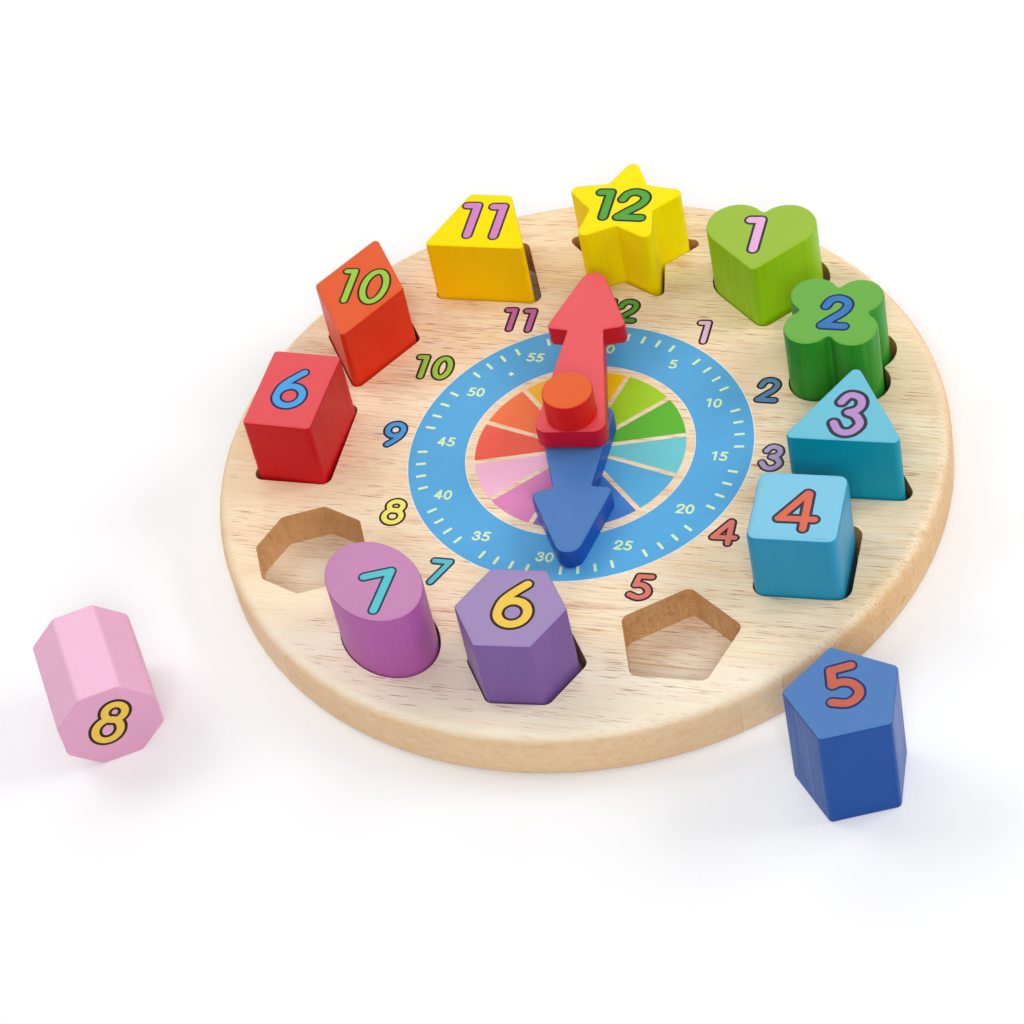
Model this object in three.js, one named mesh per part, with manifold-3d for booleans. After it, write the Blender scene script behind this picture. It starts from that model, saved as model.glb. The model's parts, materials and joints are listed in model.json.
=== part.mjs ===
import * as THREE from 'three';
import { mergeVertices } from 'three/addons/utils/BufferGeometryUtils.js';
import Module from 'manifold-3d';

// Shape sorting clock: a round wooden board with twelve pockets, a painted
// block for each hour, and two hands that turn on a dowel under a knob.
// Millimetres, +Z up. The origin is the centre of the board's underside,
// +Y points to the dial's 12 and +X to its 3.

// Board
const boardDiameter = 290;
const boardThickness = 21;
const boardTopRound = 5;
const boardBottomRound = 2.5;
const pocketFloor = 5;
const pocketRimWidth = 35;

// Fits: the room round a block in its pocket, the gap under a piece that
// lies on another, and the overrun of a cut past the face that it opens
const pocketClearance = 1.8;
const seatGap = 0.3;
const cutOverrun = 1;

// Blocks are cut from bars, some of them a little short of this height, and
// most are sanded alike
const blockHeight = 48;
const blockEdgeRound = 0.9;
const blockCornerRound = 1.9;
const valleyRound = 1.2;

// Block outlines, seen from above
const rectangleWidth = 28.6;
const rectangleLength = 40.4;
const rhombusWidth = 37.9;
const rhombusLength = 58.3;
const trapezoidTop = 17.6;
const trapezoidBase = 43.2;
const trapezoidHeight = 31.8;
const starTipRadius = 27.7;
const starValleyRadius = 14;
const starTipRound = 3;
const starPocketTipRound = 0.9;
const heartLobeRadius = 12.3;
const heartWidth = 44.6;
const heartHeight = 38;
const heartTipRound = 2.6;
const quatrefoilLobeRadius = 9.6;
const quatrefoilLobeReach = 12.5;
const triangleSide = 46.4;
const triangleCornerRound = 2.5;
const squareSide = 33.8;
const squareCornerRound = 3.8;
const squareEdgeRound = 2;
const pentagonRadius = 22.1;
const hexagonRadius = 21.2;
const ellipseLength = 44.9;
const ellipseWidth = 32.6;
const octagonRadius = 20.7;
const octagonCornerRound = 3;
const octagonPocketRound = 1;

// How far towards the lower left most seated blocks lie in their pockets,
// across and up, as shares of the room that they have there
const restShares = [-0.45, -0.65];

// Two loose blocks are on the floor beside the board, one standing and one
// lying: the free floor between each and the rim, and its turn from +X in
// degrees, anticlockwise
const standingGap = 17.2;
const standingBearing = 135.7;
const standingTurn = 22.2;
const lyingGap = 40.9;
const lyingBearing = 229.9;
const lyingTurn = -58.1;

// Pivot
const dowelDiameter = 8;
const dowelHoleFloor = 7;
const dowelDepthInKnob = 8;
const gluedGap = 0.15;
const turningGap = 0.4;
const knobDiameter = 20;
const knobHeight = 13.3;
const knobEdgeRound = 0.8;

// Hands
const handThickness = 9.4;
const handEdgeRound = 0.9;
const handTipRound = 5.5;
const handBarbRound = 2.5;
const handNeckRound = 0.5;
const handTailRound = 5;
const minuteTipGap = 2.3;
const minuteHeadStart = 46.6;
const minuteHeadWidth = 33.2;
const minuteNeckWidth = 14.8;
const minuteTailWidth = 29.2;
const minuteTailReach = 9.4;
const hourReach = 62.9;
const hourHeadStart = 29;
const hourHeadWidth = 32.6;
const hourNeckWidth = 15.2;
const hourTailWidth = 31.6;
const hourTailReach = 13.6;
const barbSweep = 1.6;

// Bearings are in degrees, clockwise from the dial's 12
const minuteBearing = -6;
const hourBearing = 170;

// Sizes that follow
const boardRadius = boardDiameter / 2;
const pocketCircleRadius = boardRadius - pocketRimWidth;
const minuteReach = pocketCircleRadius - starTipRadius - minuteTipGap;
const hourHandBase = boardThickness + seatGap;
const minuteHandBase = hourHandBase + handThickness + seatGap;
const knobBase = minuteHandBase + handThickness + seatGap;
const dowelRadius = dowelDiameter / 2;
const dowelBase = dowelHoleFloor + seatGap;
const dowelTop = knobBase + dowelDepthInKnob - seatGap;

// Steps on the round stretches, and round a turned piece
const cornerSteps = 3;
const lobeSteps = 7;
const ellipseSteps = 22;
const handSteps = 4;
const rimSteps = 100;
const turnedSteps = 40;
const edgeSteps = 2;

const wasm = await Module();
wasm.setup();

const toRadians = THREE.MathUtils.degToRad;

function bearingPoint(bearing, reach) {
  const angle = toRadians(90 - bearing);
  return new THREE.Vector2(reach * Math.cos(angle), reach * Math.sin(angle));
}

// Solids for cutting

function solidOf(geometry) {
  const bare = geometry.clone();
  bare.deleteAttribute('normal');
  bare.deleteAttribute('uv');
  const merged = mergeVertices(bare);
  return new wasm.Manifold(new wasm.Mesh({
    numProp: 3,
    vertProperties: new Float32Array(merged.attributes.position.array),
    triVerts: new Uint32Array(merged.index.array),
  }));
}

function geometryOf(solid) {
  const mesh = solid.getMesh();
  const geometry = new THREE.BufferGeometry();
  geometry.setAttribute('position', new THREE.BufferAttribute(mesh.vertProperties, mesh.numProp));
  geometry.setIndex(new THREE.BufferAttribute(mesh.triVerts, 1));
  geometry.computeVertexNormals();
  return geometry;
}

// Outlines. Each is a belt laid anticlockwise round circles: it passes
// outside a full circle and dips inside a hollow one, which makes rounded
// corners, lobes and valleys with straight flanks between them.

function beltShape(circles) {
  const signed = (circle) => (circle.hollow ? -circle.radius : circle.radius);
  const headings = circles.map((circle, i) => {
    const next = circles[(i + 1) % circles.length];
    const span = Math.hypot(next.x - circle.x, next.y - circle.y);
    const along = Math.atan2(next.y - circle.y, next.x - circle.x);
    const slope = THREE.MathUtils.clamp((signed(next) - signed(circle)) / span, -1, 1);
    return along - Math.asin(slope);
  });
  const shape = new THREE.Shape();
  circles.forEach((circle, i) => {
    const arriving = headings[(i + circles.length - 1) % circles.length];
    const side = circle.hollow ? Math.PI / 2 : -Math.PI / 2;
    shape.absarc(circle.x, circle.y, circle.radius, arriving + side, headings[i] + side, circle.hollow);
  });
  return shape;
}

// A circle in each corner of an anticlockwise polygon. The grown outline
// keeps the centres of its outer corners, so it stays parallel.
function cornerCircles(corners, rounds, grow) {
  return corners.map((corner, i) => {
    const before = corners[(i + corners.length - 1) % corners.length].clone().sub(corner).normalize();
    const after = corners[(i + 1) % corners.length].clone().sub(corner).normalize();
    const hollow = before.cross(after) > 0;
    const halfAngle = Math.acos(before.dot(after)) / 2;
    const round = rounds[i];
    const inset = (hollow ? grow + round : round) / Math.sin(halfAngle);
    const centre = before.add(after).normalize().multiplyScalar(inset).add(corner);
    return { x: centre.x, y: centre.y, radius: hollow ? round : round + grow, hollow };
  });
}

function polygonShape(corners, round, grow) {
  return beltShape(cornerCircles(corners, corners.map(() => round), grow));
}

function regularCorners(count, radius, firstAngle) {
  return Array.from({ length: count }, (_, i) => {
    const angle = toRadians(firstAngle) + (i * 2 * Math.PI) / count;
    return new THREE.Vector2(radius * Math.cos(angle), radius * Math.sin(angle));
  });
}

function boxCorners(width, length) {
  const x = width / 2;
  const y = length / 2;
  return [
    new THREE.Vector2(-x, -y),
    new THREE.Vector2(x, -y),
    new THREE.Vector2(x, y),
    new THREE.Vector2(-x, y),
  ];
}

function starShape(grow) {
  const tips = regularCorners(5, starTipRadius, 90);
  const valleys = regularCorners(5, starValleyRadius, 126);
  const corners = tips.flatMap((tip, i) => [tip, valleys[i]]);
  const tipRound = grow > 0 ? starPocketTipRound : starTipRound;
  const rounds = corners.map((_, i) => (i % 2 === 0 ? tipRound : valleyRound));
  return beltShape(cornerCircles(corners, rounds, grow));
}

function heartShape(grow) {
  const lobe = heartLobeRadius + grow;
  const lobeX = heartWidth / 2 - heartLobeRadius;
  const lobeY = heartHeight / 2 - heartLobeRadius;
  const cleftY = lobeY + Math.sqrt((lobe + valleyRound) ** 2 - lobeX ** 2);
  return beltShape([
    { x: 0, y: heartTipRound - heartHeight / 2, radius: heartTipRound + grow },
    { x: lobeX, y: lobeY, radius: lobe },
    { x: 0, y: cleftY, radius: valleyRound, hollow: true },
    { x: -lobeX, y: lobeY, radius: lobe },
  ]);
}

function quatrefoilShape(grow) {
  const lobe = quatrefoilLobeRadius + grow;
  const lobes = regularCorners(4, quatrefoilLobeReach, 45);
  const half = lobes[0].x;
  const cleftReach = half + Math.sqrt((lobe + valleyRound) ** 2 - half ** 2);
  const clefts = regularCorners(4, cleftReach, 90);
  return beltShape(lobes.flatMap((centre, i) => [
    { x: centre.x, y: centre.y, radius: lobe },
    { x: clefts[i].x, y: clefts[i].y, radius: valleyRound, hollow: true },
  ]));
}

function ellipseShape(grow) {
  const shape = new THREE.Shape();
  shape.absellipse(0, 0, ellipseLength / 2 + grow, ellipseWidth / 2 + grow, 0, 2 * Math.PI, false);
  return shape;
}

const rhombusShape = (grow) => polygonShape([
  new THREE.Vector2(0, -rhombusLength / 2),
  new THREE.Vector2(rhombusWidth / 2, 0),
  new THREE.Vector2(0, rhombusLength / 2),
  new THREE.Vector2(-rhombusWidth / 2, 0),
], blockCornerRound, grow);

const trapezoidShape = (grow) => polygonShape([
  new THREE.Vector2(-trapezoidBase / 2, -trapezoidHeight / 2),
  new THREE.Vector2(trapezoidBase / 2, -trapezoidHeight / 2),
  new THREE.Vector2(trapezoidTop / 2, trapezoidHeight / 2),
  new THREE.Vector2(-trapezoidTop / 2, trapezoidHeight / 2),
], blockCornerRound, grow);

const triangleCorners = regularCorners(3, triangleSide / Math.sqrt(3), 90);
const pentagonCorners = regularCorners(5, pentagonRadius, 90);
const hexagonCorners = regularCorners(6, hexagonRadius, 0);
const octagonCorners = regularCorners(8, octagonRadius, 22.5);
const squareCorners = boxCorners(squareSide, squareSide);
const rectangleCorners = boxCorners(rectangleWidth, rectangleLength);

const triangleShape = (grow) => polygonShape(triangleCorners, triangleCornerRound, grow);
const pentagonShape = (grow) => polygonShape(pentagonCorners, blockCornerRound, grow);
const hexagonShape = (grow) => polygonShape(hexagonCorners, blockCornerRound, grow);
const octagonShape = (grow) => {
  const round = grow > 0 ? octagonPocketRound : octagonCornerRound;
  return polygonShape(octagonCorners, round, grow);
};
const squareShape = (grow) => polygonShape(squareCorners, squareCornerRound, grow);
const rectangleShape = (grow) => polygonShape(rectangleCorners, blockCornerRound, grow);

// The twelve blocks and their pockets. Bearing and reachShare place the
// pocket on the pocket circle, and turn is how far both are turned,
// anticlockwise. The pockets were routed by eye, so none is quite regular,
// and two of them hold their blocks more closely. restTurn is a block's own
// turn in its pocket.

const blocks = [
  {
    name: 'block_12_star', shape: starShape, bearing: 359, reachShare: 1.001, turn: 1,
    lengthShare: 0.97, restShares: [0.4, -0.7], colour: 0xf2d21c,
  },
  {
    name: 'block_1_heart', shape: heartShape, bearing: 32.4, reachShare: 1.005, turn: 2.8,
    lengthShare: 0.975, colour: 0x8fc02a,
  },
  {
    name: 'block_2_quatrefoil', shape: quatrefoilShape, bearing: 61.1, reachShare: 0.997, turn: 1,
    lengthShare: 0.975, colour: 0x3f9a3a,
  },
  {
    name: 'block_3_triangle', shape: triangleShape, bearing: 90.9, reachShare: 1.001, turn: 0.8,
    lengthShare: 0.98, colour: 0x2fa7c0,
  },
  {
    name: 'block_4_square', shape: squareShape, bearing: 116.4, reachShare: 1.009, turn: 1,
    lengthShare: 0.985, colour: 0x4db4dc,
  },
  {
    name: 'block_5_pentagon', shape: pentagonShape, bearing: 147.5, reachShare: 0.98, turn: 0.5,
    lengthShare: 1, colour: 0x1f5aab,
  },
  {
    name: 'block_6_hexagon', shape: hexagonShape, bearing: 177.9, reachShare: 0.984, turn: 3.4,
    lengthShare: 1, colour: 0x7a5ca6,
  },
  {
    name: 'block_7_ellipse', shape: ellipseShape, bearing: 206.7, reachShare: 1.031, turn: 140.5,
    lengthShare: 1, roomShare: 0.4, restShares: [-0.3, -0.3], colour: 0xa955a4,
  },
  {
    name: 'block_8_octagon', shape: octagonShape, bearing: 236.7, reachShare: 1.02, turn: 24.5,
    lengthShare: 0.93, colour: 0xe9a3cb,
  },
  {
    name: 'block_9_rectangle', shape: rectangleShape, bearing: 267.2, reachShare: 1.016, turn: 179.1,
    lengthShare: 0.98, restShares: [0.45, -0.55], restTurn: -1.8, colour: 0xc9242f,
  },
  {
    name: 'block_10_rhombus', shape: rhombusShape, bearing: 298.9, reachShare: 1.034, turn: 0.5,
    lengthShare: 0.94, roomShare: 0.6, restShares: [-0.3, -0.5], colour: 0xe04a26,
  },
  {
    name: 'block_11_trapezoid', shape: trapezoidShape, bearing: 329.5, reachShare: 1.023, turn: 0.4,
    lengthShare: 0.95, colour: 0xf0b90f,
  },
];

// More steps on the long arcs of the lobed blocks and the ellipse
const outlineSteps = new Map([
  [heartShape, lobeSteps],
  [quatrefoilShape, lobeSteps],
  [ellipseShape, ellipseSteps],
]);

const stepsOf = (block) => outlineSteps.get(block.shape) ?? cornerSteps;

const lengthOf = (block) => blockHeight * block.lengthShare;

const roomOf = (block) => pocketClearance * (block.roomShare ?? 1);

function pocketPlace(block) {
  return bearingPoint(block.bearing, block.reachShare * pocketCircleRadius);
}

// Board

function boardBlank() {
  const bottomReach = boardRadius - boardBottomRound;
  const topReach = boardRadius - boardTopRound;
  const topRise = boardThickness - boardTopRound;
  const profile = new THREE.Path();
  profile.moveTo(0, 0);
  profile.lineTo(bottomReach, 0);
  profile.absarc(bottomReach, boardBottomRound, boardBottomRound, -Math.PI / 2, 0, false);
  profile.absarc(topReach, topRise, boardTopRound, 0, Math.PI / 2, false);
  profile.lineTo(0, boardThickness);
  const blank = new THREE.LatheGeometry(profile.getPoints(edgeSteps), rimSteps);
  return blank.rotateX(Math.PI / 2);
}

function pocketCutter(block) {
  const cutter = new THREE.ExtrudeGeometry(block.shape(roomOf(block)), {
    depth: boardThickness - pocketFloor + cutOverrun,
    bevelEnabled: false,
    curveSegments: stepsOf(block),
  });
  const place = pocketPlace(block);
  return cutter.rotateZ(toRadians(block.turn)).translate(place.x, place.y, pocketFloor);
}

function boreCutter(radius, floor, top) {
  const cutter = new THREE.CylinderGeometry(radius, radius, top - floor, turnedSteps);
  return cutter.rotateX(Math.PI / 2).translate(0, 0, (floor + top) / 2);
}

function makeBoard() {
  const hole = boreCutter(dowelRadius + gluedGap, dowelHoleFloor, boardThickness + cutOverrun);
  const cuts = [...blocks.map(pocketCutter), hole];
  const board = cuts.reduce((solid, cut) => solid.subtract(solidOf(cut)), solidOf(boardBlank()));
  return geometryOf(board);
}

// Blocks

function roundedPrism(shape, height, edgeRound, curveSegments) {
  const prism = new THREE.ExtrudeGeometry(shape, {
    depth: height - 2 * edgeRound,
    bevelEnabled: true,
    bevelThickness: edgeRound,
    bevelSize: edgeRound,
    bevelOffset: -edgeRound,
    bevelSegments: edgeSteps,
    curveSegments,
  });
  return prism.translate(0, 0, edgeRound);
}

function makeBlock(block) {
  const edgeRound = block.shape === squareShape ? squareEdgeRound : blockEdgeRound;
  return roundedPrism(block.shape(0), lengthOf(block), edgeRound, stepsOf(block));
}

// Ten blocks rest in their pockets, one of them turned a little there
function seatInPocket(mesh, block) {
  const place = pocketPlace(block);
  const [across, up] = (block.restShares ?? restShares).map((share) => share * roomOf(block));
  mesh.position.set(place.x + across, place.y + up, pocketFloor + seatGap);
  mesh.rotation.z = toRadians(block.turn + (block.restTurn ?? 0));
}

// The pentagon stands on the floor, and the octagon lies there on a flat
// side, with its numbered end towards the viewer
function standOnFloor(mesh) {
  const place = bearingPoint(standingBearing, boardRadius + standingGap + pentagonRadius);
  mesh.position.set(place.x, place.y, 0);
  mesh.rotation.z = toRadians(standingTurn);
}

function lieOnFloor(mesh, block) {
  const halfLength = lengthOf(block) / 2;
  const place = bearingPoint(lyingBearing, boardRadius + lyingGap + halfLength);
  const flatReach = octagonRadius * Math.cos(Math.PI / 8);
  mesh.rotation.set(0, Math.PI / 2, toRadians(lyingTurn), 'ZYX');
  mesh.position.set(place.x, place.y, flatReach);
  mesh.translateZ(-halfLength);
}

const restPoses = { block_5_pentagon: standOnFloor, block_8_octagon: lieOnFloor };

// Hands: an arrow with a rounded tip, swept barbs and a shaft that widens
// to a rounded tail round the pivot

function handShape(hand) {
  const apex = hand.reach + handTipRound * (1 / Math.sin(tipHalfAngle(hand)) - 1);
  const corners = [
    new THREE.Vector2(-hand.tailWidth / 2, -hand.tailReach),
    new THREE.Vector2(hand.tailWidth / 2, -hand.tailReach),
    new THREE.Vector2(hand.neckWidth / 2, hand.headStart),
    new THREE.Vector2(hand.headWidth / 2, hand.headStart + barbSweep),
    new THREE.Vector2(0, apex),
    new THREE.Vector2(-hand.headWidth / 2, hand.headStart + barbSweep),
    new THREE.Vector2(-hand.neckWidth / 2, hand.headStart),
  ];
  const rounds = [
    handTailRound, handTailRound, handNeckRound, handBarbRound,
    handTipRound, handBarbRound, handNeckRound,
  ];
  const shape = beltShape(cornerCircles(corners, rounds, 0));
  const bore = new THREE.Path();
  for (const quarter of [4, 3, 2, 1]) {
    const start = (quarter * Math.PI) / 2;
    bore.absarc(0, 0, dowelRadius + turningGap, start, start - Math.PI / 2, true);
  }
  shape.holes.push(bore);
  return shape;
}

// The head's flanks touch the tip's circle, whose far side is the reach
function tipHalfAngle(hand) {
  const halfWidth = hand.headWidth / 2;
  const length = hand.reach - handTipRound - hand.headStart - barbSweep;
  return Math.atan2(halfWidth, length) - Math.asin(handTipRound / Math.hypot(halfWidth, length));
}

const minuteHand = {
  reach: minuteReach,
  headStart: minuteHeadStart,
  headWidth: minuteHeadWidth,
  neckWidth: minuteNeckWidth,
  tailWidth: minuteTailWidth,
  tailReach: minuteTailReach,
};

const hourHand = {
  reach: hourReach,
  headStart: hourHeadStart,
  headWidth: hourHeadWidth,
  neckWidth: hourNeckWidth,
  tailWidth: hourTailWidth,
  tailReach: hourTailReach,
};

function makeHand(hand) {
  return roundedPrism(handShape(hand), handThickness, handEdgeRound, handSteps);
}

// Pivot: a dowel glued into the board, and a turned knob glued on its top

function makeDowel() {
  const dowel = new THREE.CylinderGeometry(dowelRadius, dowelRadius, dowelTop - dowelBase, turnedSteps);
  return dowel.rotateX(Math.PI / 2).translate(0, 0, (dowelBase + dowelTop) / 2);
}

function makeKnob() {
  const radius = knobDiameter / 2;
  const hole = dowelRadius + gluedGap;
  const profile = new THREE.Path();
  profile.moveTo(0, dowelDepthInKnob);
  profile.lineTo(hole, dowelDepthInKnob);
  profile.lineTo(hole, 0);
  profile.lineTo(radius - knobEdgeRound, 0);
  profile.absarc(radius - knobEdgeRound, knobEdgeRound, knobEdgeRound, -Math.PI / 2, 0, false);
  profile.absarc(radius - knobEdgeRound, knobHeight - knobEdgeRound, knobEdgeRound, 0, Math.PI / 2, false);
  profile.lineTo(0, knobHeight);
  const knob = new THREE.LatheGeometry(profile.getPoints(edgeSteps), turnedSteps);
  return knob.rotateX(Math.PI / 2).translate(0, 0, knobBase);
}

// Assembly

function namedMesh(name, geometry, colour, roughness) {
  const material = new THREE.MeshStandardMaterial({ color: colour, roughness, metalness: 0 });
  const mesh = new THREE.Mesh(geometry, material);
  mesh.name = name;
  return mesh;
}

function placedHand(name, hand, base, bearing, colour) {
  const mesh = namedMesh(name, makeHand(hand), colour, 0.45);
  mesh.position.z = base;
  mesh.rotation.z = toRadians(-bearing);
  return mesh;
}

const clock = new THREE.Group();
clock.add(namedMesh('board', makeBoard(), 0xf0d3a6, 0.5));
for (const block of blocks) {
  const mesh = namedMesh(block.name, makeBlock(block), block.colour, 0.45);
  const rest = restPoses[block.name] ?? seatInPocket;
  rest(mesh, block);
  clock.add(mesh);
}
clock.add(placedHand('hour_hand', hourHand, hourHandBase, hourBearing, 0x2a57b0));
clock.add(placedHand('minute_hand', minuteHand, minuteHandBase, minuteBearing, 0xd93346));
clock.add(namedMesh('pivot_dowel', makeDowel(), 0xe6cfa6, 0.6));
clock.add(namedMesh('pivot_knob', makeKnob(), 0xe8542c, 0.4));

export default clock;
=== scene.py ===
import json
import math

import bpy
from mathutils import Matrix, Vector

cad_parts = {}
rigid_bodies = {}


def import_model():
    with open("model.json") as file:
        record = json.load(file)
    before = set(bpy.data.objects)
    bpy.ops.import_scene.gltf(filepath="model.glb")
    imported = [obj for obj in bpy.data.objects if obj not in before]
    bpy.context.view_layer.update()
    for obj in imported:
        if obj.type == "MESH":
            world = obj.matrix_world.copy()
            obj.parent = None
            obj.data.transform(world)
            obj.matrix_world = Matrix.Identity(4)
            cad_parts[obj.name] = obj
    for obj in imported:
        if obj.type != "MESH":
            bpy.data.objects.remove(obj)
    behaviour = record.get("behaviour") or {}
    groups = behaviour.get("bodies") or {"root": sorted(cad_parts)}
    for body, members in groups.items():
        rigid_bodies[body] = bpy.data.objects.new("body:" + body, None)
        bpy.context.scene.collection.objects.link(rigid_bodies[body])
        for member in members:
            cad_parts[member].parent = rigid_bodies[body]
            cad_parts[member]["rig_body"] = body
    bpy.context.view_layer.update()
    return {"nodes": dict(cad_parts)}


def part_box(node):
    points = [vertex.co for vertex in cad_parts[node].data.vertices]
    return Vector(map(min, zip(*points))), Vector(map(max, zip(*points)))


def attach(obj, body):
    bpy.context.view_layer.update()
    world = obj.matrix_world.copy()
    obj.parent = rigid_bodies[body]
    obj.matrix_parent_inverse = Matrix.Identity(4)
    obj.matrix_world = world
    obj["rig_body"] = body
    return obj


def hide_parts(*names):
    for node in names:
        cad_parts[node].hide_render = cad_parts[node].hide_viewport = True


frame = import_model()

mm = 0.001
print("clock puzzle: packed model loaded,", len(frame["nodes"]), "nodes")


# small helpers for objects

def clearSelection():
    if bpy.context.object and bpy.context.object.mode != "OBJECT":
        bpy.ops.object.mode_set(mode="OBJECT")
    bpy.ops.object.select_all(action="DESELECT")


def workOn(*objects):
    clearSelection()
    for each in objects:
        each.select_set(True)
    bpy.context.view_layer.objects.active = objects[0]


def editAll(obj):
    workOn(obj)
    bpy.ops.object.mode_set(mode="EDIT")
    bpy.ops.mesh.select_all(action="SELECT")


def doneEditing():
    bpy.ops.object.mode_set(mode="OBJECT")


def applyModifier(obj, kind, **settings):
    workOn(obj)
    bpy.ops.object.modifier_add(type=kind)
    modifier = obj.modifiers[-1]
    for key, value in settings.items():
        setattr(modifier, key, value)
    bpy.ops.object.modifier_apply(modifier=modifier.name)


def bakePlace(obj):
    workOn(obj)
    bpy.ops.object.transform_apply(location=True, rotation=True, scale=True)


def joined(name, parts):
    workOn(*parts)
    bpy.ops.object.join()
    piece = bpy.context.object
    piece.name = name
    piece.data.name = name
    return piece


def wear(obj, material):
    obj.data.materials.clear()
    obj.data.materials.append(material)


# small helpers for materials

def tone(red, green, blue):
    # a colour as a picture shows it, 0 to 255, turned into Blender's linear values
    values = []
    for level in (red, green, blue):
        share = level / 255
        values.append(share / 12.92 if share <= 0.04045 else ((share + 0.055) / 1.055) ** 2.4)
    return (*values, 1)


def shaded(colour, share):
    return (*[min(1, level * share) for level in colour[:3]], 1)


class Recipe:
    # one node material, with the few joins that wood, paint and ink need
    def __init__(self, name):
        self.material = bpy.data.materials.new(name)
        self.material.use_nodes = True
        self.nodes = self.material.node_tree.nodes
        self.links = self.material.node_tree.links
        self.shader = self.nodes["Principled BSDF"]
        self.place = self.nodes.new("ShaderNodeTexCoord")

    def join(self, source, target):
        if hasattr(source, "is_output"):
            self.links.new(source, target)
        else:
            target.default_value = source

    def mapped(self, scale=(1, 1, 1), turn=0):
        # the object's own coordinates, scaled, and turned about Z by some degrees
        node = self.nodes.new("ShaderNodeMapping")
        node.inputs["Scale"].default_value = scale
        node.inputs["Rotation"].default_value = (0, 0, math.radians(turn))
        self.links.new(self.place.outputs["Object"], node.inputs["Vector"])
        return node.outputs["Vector"]

    def noise(self, vector, detail=3, rough=0.5):
        node = self.nodes.new("ShaderNodeTexNoise")
        node.inputs["Scale"].default_value = 1
        node.inputs["Detail"].default_value = detail
        node.inputs["Roughness"].default_value = rough
        self.links.new(vector, node.inputs["Vector"])
        return node.outputs["Fac"]

    def spread(self, value, low, high, outLow=0, outHigh=1, smooth=True):
        node = self.nodes.new("ShaderNodeMapRange")
        node.interpolation_type = "SMOOTHSTEP" if smooth else "LINEAR"
        for key, level in (("From Min", low), ("From Max", high), ("To Min", outLow), ("To Max", outHigh)):
            node.inputs[key].default_value = level
        self.links.new(value, node.inputs["Value"])
        return node.outputs["Result"]

    def maths(self, kind, first, second=0.0):
        node = self.nodes.new("ShaderNodeMath")
        node.operation = kind
        self.join(first, node.inputs[0])
        self.join(second, node.inputs[1])
        return node.outputs["Value"]

    def times(self, first, second):
        return self.maths("MULTIPLY", first, second)

    def plus(self, first, second):
        return self.maths("ADD", first, second)

    def minus(self, first, second):
        return self.maths("SUBTRACT", first, second)

    def larger(self, first, second):
        return self.maths("MAXIMUM", first, second)

    def reach(self, x, y):
        # how far a point lies from the Z axis
        return self.maths("SQRT", self.plus(self.times(x, x), self.times(y, y)))

    def fromMiddle(self, value):
        # 0 halfway through each whole step of the value, 0.5 at its ends
        return self.maths("ABSOLUTE", self.minus(self.maths("FRACT", value), 0.5))

    def split(self, vector):
        node = self.nodes.new("ShaderNodeSeparateXYZ")
        self.links.new(vector, node.inputs["Vector"])
        return node.outputs

    def gather(self, x, y, z):
        node = self.nodes.new("ShaderNodeCombineXYZ")
        for value, slot in zip((x, y, z), node.inputs):
            self.join(value, slot)
        return node.outputs["Vector"]

    def blend(self, share, first, second, kind="MIX"):
        node = self.nodes.new("ShaderNodeMix")
        node.data_type = "RGBA"
        node.blend_type = kind
        self.join(share, node.inputs["Factor"])
        self.join(first, node.inputs[6])  # the colour sockets come after those for numbers and vectors
        self.join(second, node.inputs[7])
        return node.outputs[2]

    def chance(self, value):
        node = self.nodes.new("ShaderNodeTexWhiteNoise")
        node.noise_dimensions = "1D"
        self.links.new(value, node.inputs["W"])
        return node.outputs["Value"]

    def bump(self, height, strength, depth):
        node = self.nodes.new("ShaderNodeBump")
        node.inputs["Strength"].default_value = strength
        node.inputs["Distance"].default_value = depth
        self.links.new(height, node.inputs["Height"])
        self.links.new(node.outputs["Normal"], self.shader.inputs["Normal"])

    def finish(self, colour, roughness, gloss):
        self.join(colour, self.shader.inputs["Base Color"])
        self.join(roughness, self.shader.inputs["Roughness"])
        self.shader.inputs["Specular IOR Level"].default_value = gloss
        return self.material


# the board's wood: pale staves glued side by side, grain along X

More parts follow.
